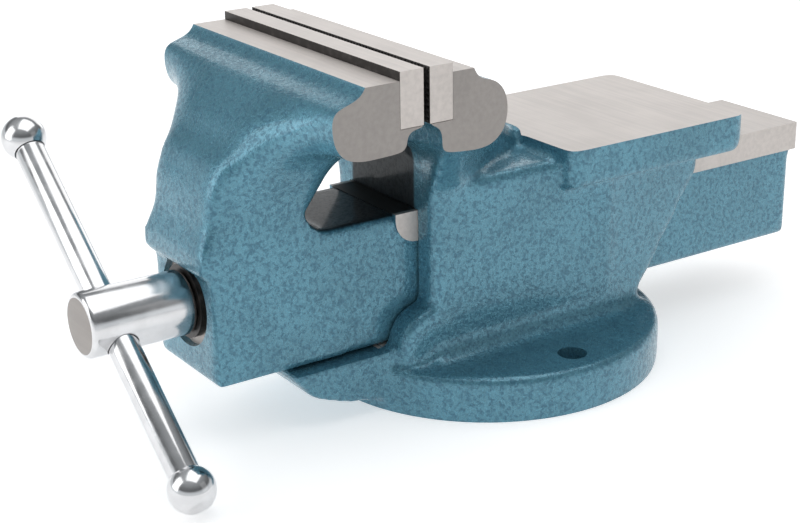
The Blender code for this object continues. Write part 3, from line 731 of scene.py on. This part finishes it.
def body_casting():
    """Base, slideway, fixed jaw and anvil."""
    piece = copy_of("fixed_body", "body_casting")
    leave_allowance(piece, faces_towards("Z", 1, ANVIL_TOP), (0, 0, OVERRUN))
    leave_allowance(piece, faces_towards("Z", -1, 0.0), (0, 0, -OVERRUN))
    leave_allowance(piece, faces_towards("Z", 1, FLOOR_Z), (0, 0, SPARE))
    leave_allowance(piece, faces_towards("Z", -1, SLIDE_ROOF), (0, 0, -SPARE))
    for sign in (-1, 1):
        leave_allowance(piece, faces_towards("X", -sign, sign * SLIDE_HALF), (-sign * SPARE, 0, 0))
    leave_head_allowance(piece)
    fill_rebate(piece, REAR_PLATE_BACK, 1)
    for sign in (-1, 1):
        place = (sign * BOLT_REACH, 0, 0)
        plug = rod("plug", BOLT_RADIUS + 1 * MM, "Z", place, -OVERRUN, BASE_TOP - GAP)
        combine(piece, plug, "UNION", "EXACT")
    cast_surface(piece)
    wide = BODY_HIGH.x + OVERRUN
    nut_place = (0, NUT_Y, 0)
    cut(
        piece,
        slab("anvil_top", (-wide, ANVIL_FRONT - 1 * MM, ANVIL_TOP), (wide, REACH, REACH)),
        slab("underside", (-wide, -REACH, -4 * OVERRUN), (wide, REACH, 0)),
        slab("slideway", (-SLIDE_HALF, -REACH, FLOOR_Z), (SLIDE_HALF, REACH, SLIDE_ROOF)),
        rod("nut_pocket", NUT_POCKET_RADIUS, "Z", nut_place, -OVERRUN, NUT_POCKET_DEPTH),
        rod("nut_shank", NUT_SHANK_RADIUS, "Z", nut_place, -OVERRUN, FLOOR_Z + OVERRUN, 48),
    )
    for sign in (-1, 1):
        place = (sign * BOLT_REACH, 0, 0)
        cut(piece, rod("bolt_hole", BOLT_RADIUS, "Z", place, -OVERRUN, BASE_TOP + OVERRUN))
    machine_head(piece, REAR_PLATE_BACK, 1)

    def is_machined(face):
        centre, normal = face.center, face.normal
        in_slide = FLOOR_Z - GAP < centre.z < SLIDE_ROOF + GAP and abs(centre.x) < SLIDE_HALF + NEAR
        return (
            (normal.z > FLAT and abs(centre.z - ANVIL_TOP) < NEAR)
            or (normal.z < -FLAT and centre.z < NEAR)
            or (in_slide and (abs(normal.x) > FLAT or abs(normal.z) > FLAT))
            or is_head_cut(face)
        )

    special = [("sawn_iron", is_head_end), ("machined_iron", is_machined)]
    paint_faces(piece, "hammered_paint", special)
    smooth_shade(piece)
    hand_over(piece, "root", "hammered_paint", "fixed_body")


def guide_corner():
    """Where the machined strip starts along the beam, and its lower edge."""
    sizes = bpy.context.scene.vise_sizes
    return BODY_FRONT - sizes.guide_start, BEAM_TOP - sizes.guide_height


def guide_strip():
    """The machined strip along the beam's top, its front corner run out in a quarter round."""
    start, bottom = guide_corner()
    far = (STRIP_HALF, JAW_HIGH.y, BEAM_TOP)
    piece = slab("guide_strip", (-STRIP_HALF, start, bottom), far)
    only(piece)
    bpy.ops.object.mode_set(mode="EDIT")
    bpy.ops.mesh.select_all(action="DESELECT")
    bpy.ops.object.mode_set(mode="OBJECT")
    for edge in piece.data.edges:
        ends = [piece.data.vertices[index].co for index in edge.vertices]
        edge.select = all(abs(end.y - start) < GAP and abs(end.z - bottom) < GAP for end in ends)
    bpy.context.tool_settings.mesh_select_mode = (False, True, False)
    bpy.ops.object.mode_set(mode="EDIT")
    bpy.ops.mesh.bevel(offset=GUIDE_CORNER, segments=12, affect="EDGES")
    bpy.ops.object.mode_set(mode="OBJECT")
    return piece


def jaw_casting():
    """Front block, neck, head and hollow beam of the moving jaw."""
    piece = copy_of("moving_jaw", "jaw_casting")
    for sign in (-1, 1):
        push_faces(piece, faces_towards("X", sign, sign * STRIP_HALF), (-sign * GUIDE_PROUD, 0, 0))
        inner = faces_towards("X", -sign, sign * HOLLOW_HALF)
        leave_allowance(piece, inner, (-sign * SPARE, 0, 0))
    push_faces(piece, faces_towards("Z", 1, BEAM_TOP), (0, 0, -GUIDE_RISE))
    leave_allowance(piece, faces_towards("Z", -1, HOLLOW_TOP), (0, 0, -SPARE))
    leave_allowance(piece, faces_towards("Y", 1, WALL_BACK), (0, SPARE, 0))
    leave_head_allowance(piece)
    fill_rebate(piece, FRONT_PLATE_BACK, -1)
    axis = (0, 0, SCREW_Z)
    plug_ends = (BLOCK_FRONT + GAP, RECESS_FACE + SPARE)
    plug = rod("plug", RECESS_RADIUS + 1 * MM, "Y", axis, *plug_ends)
    core_ends = (BLOCK_FRONT + SPARE, WALL_BACK + 1 * MM)
    core = rod("core", BORE_RADIUS + 1 * MM, "Y", axis, *core_ends)
    combine(piece, plug, "UNION", "EXACT")
    combine(piece, core, "UNION", "EXACT")
    cast_surface(piece)
    relax_neck(piece)
    combine(piece, guide_strip(), "UNION")
    recess = rod("recess", RECESS_RADIUS, "Y", axis, BLOCK_FRONT - 4 * OVERRUN, RECESS_FACE)
    cut(recess, slab("hood", (-0.1, -REACH, SCREW_Z + HOOD_RISE), (0.1, REACH, REACH)))
    cut(
        piece,
        slab("hollow", (-HOLLOW_HALF, WALL_BACK, -REACH), (HOLLOW_HALF, REACH, HOLLOW_TOP)),
        recess,
        rod("bore", BORE_RADIUS, "Y", axis, BLOCK_FRONT - OVERRUN, WALL_BACK + OVERRUN),
    )
    machine_head(piece, FRONT_PLATE_BACK, -1)
    start, bottom = guide_corner()

    def is_machined(face):
        x, y, z = face.center
        on_strip = y > start - GAP and z > bottom - GAP and (
            abs(x) > STRIP_HALF - 2 * NEAR or z > BEAM_TOP - 2 * NEAR or y > JAW_HIGH.y - 2 * NEAR
        )
        in_recess = abs(face.normal.y) > FLAT and abs(y - RECESS_FACE) < NEAR
        return on_strip or in_recess or is_head_cut(face)

    def is_raw(face):
        x, y, z = face.center
        return abs(x) < HOLLOW_HALF + NEAR and y > WALL_BACK - NEAR and z < HOLLOW_TOP + NEAR

    paint_faces(piece, "hammered_paint", [
        ("sawn_iron", is_head_end), ("machined_iron", is_machined), ("raw_iron", is_raw),
    ])
    smooth_shade(piece)
    hand_over(piece, "moving_jaw", "hammered_paint", "moving_jaw")


def toothed_plate(name, low, high, grip_sign):
    """A jaw plate with a face of small pyramids and two countersunk holes."""
    sizes = bpy.context.scene.vise_sizes
    width, height = high.x - low.x, high.z - low.z
    face_y, back_y = (high.y, low.y) if grip_sign > 0 else (low.y, high.y)
    root_y = face_y - grip_sign * sizes.tooth_height
    across = round(width / sizes.tooth_pitch)
    up = round(height / sizes.tooth_pitch)
    bpy.ops.object.select_all(action="DESELECT")
    bpy.ops.mesh.primitive_grid_add(
        x_subdivisions=across, y_subdivisions=up, size=1, rotation=(math.pi / 2, 0, 0),
        location=(0, back_y, (low.z + high.z) / 2),
    )
    bpy.context.object.scale = (width, height, 1)
    piece = named(name)
    bpy.ops.object.mode_set(mode="EDIT")
    bpy.ops.mesh.select_all(action="SELECT")
    bpy.ops.mesh.extrude_region_move(TRANSFORM_OT_translate={"value": (0, root_y - back_y, 0)})
    bpy.ops.mesh.select_all(action="SELECT")
    bpy.ops.mesh.normals_make_consistent(inside=False)
    bpy.ops.object.mode_set(mode="OBJECT")
    edit_faces(piece, faces_towards("Y", grip_sign, root_y))
    bpy.ops.mesh.poke(offset=sizes.tooth_height)
    bpy.ops.object.mode_set(mode="OBJECT")
    head = sorted((face_y + grip_sign * SPARE, face_y - grip_sign * PLATE_HEAD_DEPTH))
    shank = (low.y - OVERRUN, high.y + OVERRUN)
    sink = PLATE_HEAD_RADIUS - PLATE_HOLE_RADIUS
    sink_y = face_y - grip_sign * (PLATE_HEAD_DEPTH + sink / 2)
    for x in (-PLATE_SCREW_X, PLATE_SCREW_X):
        place = (x, 0, PLATE_SCREW_Z)
        cut(piece, rod("head", PLATE_HEAD_RADIUS, "Y", place, *head, sides=48))
        cut(piece, rod("shank", PLATE_HOLE_RADIUS, "Y", place, *shank, sides=48))
        bpy.ops.object.select_all(action="DESELECT")
        bpy.ops.mesh.primitive_cone_add(
            vertices=48, radius1=PLATE_HOLE_RADIUS, radius2=PLATE_HEAD_RADIUS, depth=sink,
            location=(x, sink_y, PLATE_SCREW_Z), rotation=(-grip_sign * math.pi / 2, 0, 0),
        )
        cut(piece, named("countersink"))
    close_up(piece)
    return piece


def finish_plate(piece, node, body, end):
    """Grinds a plate's top, bottom and ends; the rest stays black."""

    def is_ground(face):
        on_end = abs(face.normal.x) > FLAT and abs(face.center.x) > end - NEAR
        return abs(face.normal.z) > FLAT or on_end

    paint_faces(piece, "black_oxide", [("machined_iron", is_ground)])
    hand_over(piece, body, "ground_steel", node)


def lead_screw():
    """Drilled head, plain journal and trapezoid thread, down to a pointed end."""
    sizes = bpy.context.scene.vise_sizes
    head_back = COLLAR_LOW.y - GAP
    axis = (0, 0, SCREW_Z)
    piece = rod("lead_screw_turned", SCREW_HEAD_RADIUS, "Y", axis, SCREW_LOW.y, head_back, 128)
    round_edges(piece, 2.2 * MM, 5, 60)
    wide = 4 * SCREW_HEAD_RADIUS
    across = rod("cross_hole", CROSS_HOLE_RADIUS, "X", (0, 0, 0), -wide, wide)
    across.rotation_euler = (0, HANDLE_TILT, 0)
    across.location = HANDLE_CENTRE
    cut(piece, settle(across))
    journal_end = SPRING_HIGH.y + JOURNAL_PAST_SPRING
    core_radius = SCREW_RADIUS - sizes.thread_depth
    shank = rod("shank", SCREW_RADIUS, "Y", axis, head_back - OVERRUN, journal_end, 96)
    core = rod("core", core_radius, "Y", axis, journal_end - OVERRUN, SCREW_HIGH.y, 96)
    round_edges(core, 1.5 * MM, 3, 60)
    combine(piece, shank, "UNION", "EXACT")
    combine(piece, core, "UNION", "EXACT")
    pin_place = (0, (PIN_LOW.y + PIN_HIGH.y) / 2, SCREW_Z)
    wide = 2 * SCREW_RADIUS
    pin_hole = rod("pin_hole", PIN_HOLE_RADIUS, "X", pin_place, -wide, wide, 32)
    cut(piece, pin_hole, solver="EXACT")
    round_edges(piece, 0.5 * MM, 2, 50)
    ridge = thread_ridge(core_radius, journal_end - 3 * MM, SCREW_HIGH.y - 3 * MM)
    only(piece)
    ridge.select_set(True)
    bpy.ops.object.join()

    def is_thread(face):
        return face.center.y > journal_end - 3.5 * MM

    def is_front(face):
        return face.normal.y < -FLAT and face.center.y < SCREW_LOW.y + NEAR

    special = [("thread_steel", is_thread), ("sawn_iron", is_front)]
    paint_faces(piece, "bright_steel", special)
    smooth_shade(piece, 35)
    hand_over(piece, "lead_screw", "bright_steel", "lead_screw")


def thread_ridge(core_radius, start, end):
    """One trapezoid ridge wound round the screw."""
    sizes = bpy.context.scene.vise_sizes
    turns = int((end - start) / sizes.thread_pitch) - 1
    root, crest = 0.34 * sizes.thread_pitch, 0.19 * sizes.thread_pitch
    bpy.ops.object.select_all(action="DESELECT")
    bpy.ops.mesh.primitive_plane_add(size=1)
    piece = named("thread_ridge")
    sunk = core_radius - 0.4 * MM
    corners = ((sunk, -root), (SCREW_RADIUS, -crest), (sunk, root), (SCREW_RADIUS, crest))
    for vertex, (out, along) in zip(piece.data.vertices, corners):
        vertex.co = (out, along, 0)
    edit_faces(piece, lambda face: True)
    bpy.ops.mesh.delete(type="ONLY_FACE")
    bpy.ops.object.mode_set(mode="OBJECT")
    apply_modifier(
        piece, "SCREW", axis="Y", angle=math.tau, screw_offset=sizes.thread_pitch, iterations=turns,
        steps=40, render_steps=40, use_smooth_shade=True,
    )
    piece.location = (0, start + sizes.thread_pitch / 2, SCREW_Z)
    settle(piece)
    close_up(piece)
    return piece


def on_handle(piece):
    """Turns and moves a piece made along X, about the origin, onto the handle's line."""
    piece.rotation_euler = (0, HANDLE_TILT, 0)
    piece.location = HANDLE_CENTRE
    return settle(piece)


def handle_bar():
    """Sliding bar, its ends seated in the knobs."""
    ends = (UPPER_REACH + BAR_SEAT, LOWER_REACH - BAR_SEAT)
    bar = rod("handle_bar_turned", BAR_RADIUS, "X", (0, 0, 0), *ends, 96)
    round_edges(bar, 0.6 * MM, 2, 60)
    paint_faces(bar, "bright_steel")
    smooth_shade(bar, 40)
    hand_over(on_handle(bar), "handle", "bright_steel", "handle_bar")


def handle_knob(name, node, along, side, crown):
    """A ball, cut off flat at a share of its radius and bored for the bar."""
    bpy.ops.object.select_all(action="DESELECT")
    bpy.ops.mesh.primitive_uv_sphere_add(
        segments=64, ring_count=48, radius=KNOB_RADIUS,
        location=(along, 0, 0), rotation=AXIS_TURNS["X"],
    )
    ball = named(name)
    outer = along + side * KNOB_RADIUS * crown
    ends = sorted((outer, outer + side * 2 * KNOB_RADIUS))
    cut(ball, slab("crown", (ends[0], -OVERSIZE, -OVERSIZE), (ends[1], OVERSIZE, OVERSIZE)))
    round_edges(ball, 0.5 * MM, 3, 25)
    bore = sorted((along - side * 2 * KNOB_RADIUS, along - side * KNOB_MOUTH))
    cut(ball, rod("bore", BAR_RADIUS + GAP, "X", (0, 0, 0), *bore, sides=64))
    close_up(ball)
    paint_faces(ball, "bright_steel")
    smooth_shade(ball, 40)
    hand_over(on_handle(ball), "handle", "bright_steel", node)


def retraction_spring():
    """Open coil behind the front wall."""
    wire = 1.3 * MM
    coil = (SPRING_HIGH.x - SPRING_LOW.x) / 2 - wire
    turns = 3
    bpy.ops.object.select_all(action="DESELECT")
    bpy.ops.mesh.primitive_circle_add(vertices=16, radius=wire, location=(coil, 0, 0))
    piece = named("retraction_coil")
    rise = (SPRING_HIGH.y - SPRING_LOW.y) - 2 * wire
    apply_modifier(
        piece, "SCREW", axis="Y", angle=math.tau, screw_offset=rise / turns, iterations=turns,
        steps=48, render_steps=48, use_smooth_shade=True,
    )
    piece.location = (0, SPRING_LOW.y + wire, SCREW_Z)
    settle(piece)
    close_up(piece)
    paint_faces(piece, "spring_steel")
    smooth_shade(piece, 50)
    hand_over(piece, "lead_screw", "spring_steel", "retraction_spring")


KEPT_NODES = {
    "black_oxide": (
        "thrust_collar", "spring_seat_washer", "retainer_washer", "nut_bolt", "nut_bolt_washer",
        "rear_jaw_screw_left", "rear_jaw_screw_right",
        "front_jaw_screw_left", "front_jaw_screw_right",
    ),
    "thread_steel": ("cotter_pin",),
    "raw_iron": ("lead_nut",),
}


def small_fittings():
    """Finishes of the fittings whose shape is already right."""
    for name, nodes in KEPT_NODES.items():
        for node in nodes:
            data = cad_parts[node].data
            data.materials.clear()
            data.materials.append(finish(name))


# ---------------------------------------------------------------- stage


def aim(back, roll=0.0):
    """Rotation of something that looks against back, with Z up, then rolled."""
    back = Vector(back).normalized()
    right = Vector((0, 0, 1)).cross(back).normalized()
    up = back.cross(right)
    turned_right = right * math.cos(roll) + up * math.sin(roll)
    turned_up = up * math.cos(roll) - right * math.sin(roll)
    return Matrix((turned_right, turned_up, back)).transposed().to_euler()


def add_camera():
    """The camera, to the front right and a little above."""
    data = bpy.data.cameras.new("camera")
    data.lens, data.sensor_width, data.clip_end = 75.7, 36, 20
    camera = bpy.data.objects.new("camera", data)
    camera.location = (0.6356, -0.4781, 0.3454)
    around, above = math.radians(56.08), math.radians(20.54)
    level = math.cos(above)
    back = (math.sin(around) * level, -math.cos(around) * level, math.sin(above))
    camera.rotation_euler = aim(back, math.radians(-0.81))
    bpy.context.collection.objects.link(camera)
    bpy.context.scene.camera = camera


def add_softbox(name, place, size, power):
    """A rectangular light that faces the vise."""
    data = bpy.data.lights.new(name, "AREA")
    data.shape, data.size, data.size_y, data.energy = "RECTANGLE", size[0], size[1], power
    light = bpy.data.objects.new(name, data)
    light.location = place
    light.rotation_euler = aim(Vector(place) - Vector((0, 0, 0.08)))
    bpy.context.collection.objects.link(light)


def add_floor():
    """A pale floor that lights its own shadows a little."""
    bpy.ops.object.select_all(action="DESELECT")
    bpy.ops.mesh.primitive_plane_add(size=12)
    floor = named("floor")
    sheet = Finish("pale_floor", metallic=0.0)
    sheet.colour((0.86, 0.86, 0.86, 1.0))
    sheet.shader.inputs["Roughness"].default_value = 0.9
    sheet.shader.inputs["Emission Color"].default_value = (1, 1, 1, 1)
    sheet.shader.inputs["Emission Strength"].default_value = 0.5
    floor.data.materials.append(sheet.material)


def light_sky():
    """A cool sky, bright low down and overhead, dimmer between."""
    world = bpy.data.worlds.new("sky")
    world.use_nodes = True
    bpy.context.scene.world = world
    sky = Nodes(world.node_tree)
    direction = sky.add("ShaderNodeTexCoord", output="Generated")
    up = sky.add("ShaderNodeSeparateXYZ", None, {0: direction}, output=2)
    background = world.node_tree.nodes["Background"]
    strength = (1 - up.ramp(0.16, 0.34)) * 0.72 + up.ramp(0.2, 0.95) * 0.32 + 0.10
    sky.feed(background.inputs["Strength"], strength)
    background.inputs["Color"].default_value = (0.93, 0.97, 1.0, 1.0)


# ---------------------------------------------------------------- operators


class Step(bpy.types.Operator):
    """A step of the build."""

    bl_idname = "vise.step"
    bl_label = "Step"
    bl_options = {"UNDO"}

    def execute(self, context):
        self.make()
        return {"FINISHED"}


class StageOperator(Step):
    """Sets the floor, the sky, four softboxes and the camera."""

    bl_idname = "vise.stage"
    bl_label = "Stage"

    def make(self):
        add_floor()
        light_sky()
        add_camera()
        add_softbox("overhead_softbox", (0.05, 0.05, 1.1), (1.3, 1.0), 5.6)
        add_softbox("back_softbox", (-1.35, 0.95, 0.75), (1.8, 0.9), 6.0)
        add_softbox("left_softbox", (-0.35, -1.05, 0.55), (0.7, 0.9), 3.9)
        add_softbox("right_softbox", (1.0, 0.6, 0.5), (0.7, 0.9), 0.35)
        bpy.context.scene.view_settings.view_transform = "Standard"


class BodyOperator(Step):
    """Casts and machines the fixed body: base, slideway, rear jaw and anvil."""

    bl_idname = "vise.body_casting"
    bl_label = "Body casting"

    def make(self):
        body_casting()


class JawOperator(Step):
    """Casts and machines the moving jaw and its beam."""

    bl_idname = "vise.jaw_casting"
    bl_label = "Jaw casting"

    def make(self):
        jaw_casting()


class PlatesOperator(Step):
    """Cuts the two toothed jaw plates."""

    bl_idname = "vise.jaw_plates"
    bl_label = "Jaw plates"

    def make(self):
        rear, front = (REAR_PLATE_LOW, REAR_PLATE_HIGH), (FRONT_PLATE_LOW, FRONT_PLATE_HIGH)
        for name, node, body, box, grip in (
            ("rear_toothed_plate", "rear_jaw_plate", "root", rear, -1),
            ("front_toothed_plate", "front_jaw_plate", "moving_jaw", front, 1),
        ):
            finish_plate(toothed_plate(name, *box, grip), node, body, box[1].x)


class ScrewOperator(Step):
    """Turns the lead screw and winds its spring."""

    bl_idname = "vise.lead_screw"
    bl_label = "Lead screw and spring"

    def make(self):
        lead_screw()
        retraction_spring()


class HandleOperator(Step):
    """Turns the handle bar and its two knobs."""

    bl_idname = "vise.handle"
    bl_label = "Handle"

    def make(self):
        handle_bar()
        handle_knob("upper_knob_turned", "handle_knob_upper", UPPER_REACH, -1, 0.90)
        handle_knob("lower_knob_turned", "handle_knob_lower", LOWER_REACH, 1, 0.84)


class FittingsOperator(Step):
    """Finishes the collar, washers, pin, nut, bolt and plate screws."""

    bl_idname = "vise.fittings"
    bl_label = "Small fittings"

    def make(self):
        small_fittings()


STEPS = (
    StageOperator, BodyOperator, JawOperator, PlatesOperator,
    ScrewOperator, HandleOperator, FittingsOperator,
)


class VisePanel(bpy.types.Panel):
    """Sizes, colours and the steps in order."""

    bl_idname = "VIEW3D_PT_vise"
    bl_label = "Bench Vise"
    bl_space_type = "VIEW_3D"
    bl_region_type = "UI"
    bl_category = "Vise"

    def draw(self, context):
        for group in (context.scene.vise_sizes, context.scene.vise_colours):
            box = self.layout.box()
            for name in group.__annotations__:
                box.prop(group, name)
        for step in STEPS:
            self.layout.operator(step.bl_idname)


CLASSES = (ViseSizes, ViseColours, *STEPS, VisePanel)


def register():
    """Adds the property groups, the operators and the panel."""
    for item in CLASSES:
        bpy.utils.register_class(item)
    bpy.types.Scene.vise_sizes = PointerProperty(type=ViseSizes)
    bpy.types.Scene.vise_colours = PointerProperty(type=ViseColours)


def unregister():
    """Takes them away again."""
    del bpy.types.Scene.vise_colours
    del bpy.types.Scene.vise_sizes
    for item in reversed(CLASSES):
        bpy.utils.unregister_class(item)


def main():
    """Runs every step."""
    register()
    for step in STEPS:
        group, name = step.bl_idname.split(".")
        getattr(getattr(bpy.ops, group), name)()


if __name__ == "__main__":
    main()
